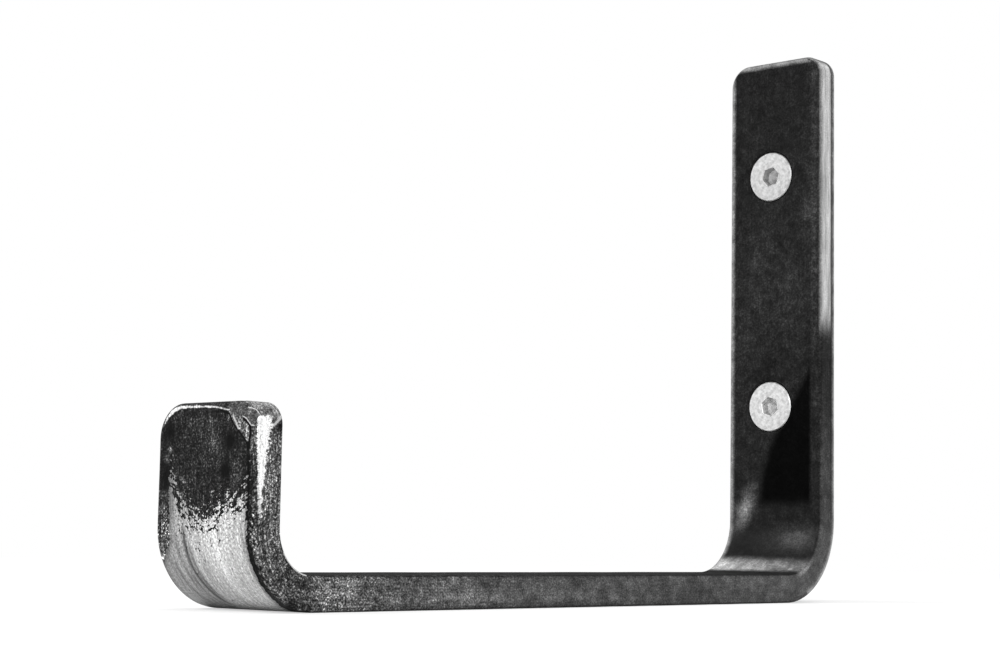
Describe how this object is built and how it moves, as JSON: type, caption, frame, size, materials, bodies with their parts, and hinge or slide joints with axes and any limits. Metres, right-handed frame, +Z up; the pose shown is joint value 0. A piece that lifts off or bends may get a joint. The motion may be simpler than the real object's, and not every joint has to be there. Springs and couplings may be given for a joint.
{
  "type": "pipe hook",
  "caption": "J-shaped wall hook bent from flat steel bar: upright plate screwed to the wall, long level arm and short front lip that holds a pipe.",
  "frame": {"origin": "on the back face of the plate, on the bar's centre line and midway between the two screws", "axes": "+Y into the wall, square to the back of the plate; +Z up along the plate; +X along the bar's width"},
  "size_m": [0.0254, 0.1916, 0.127],
  "materials": {
    "bar_steel": "hot-rolled flat bar with black mill scale, worn and ground to bare steel round the front bend, on the side edges and at the lip's end",
    "screw_steel": "bright zinc-plated machine screw"
  },
  "bodies": {
    "root": {"hook_bar": "bar_steel", "upper_screw": "screw_steel", "lower_screw": "screw_steel"}
  },
  "joints": []
}
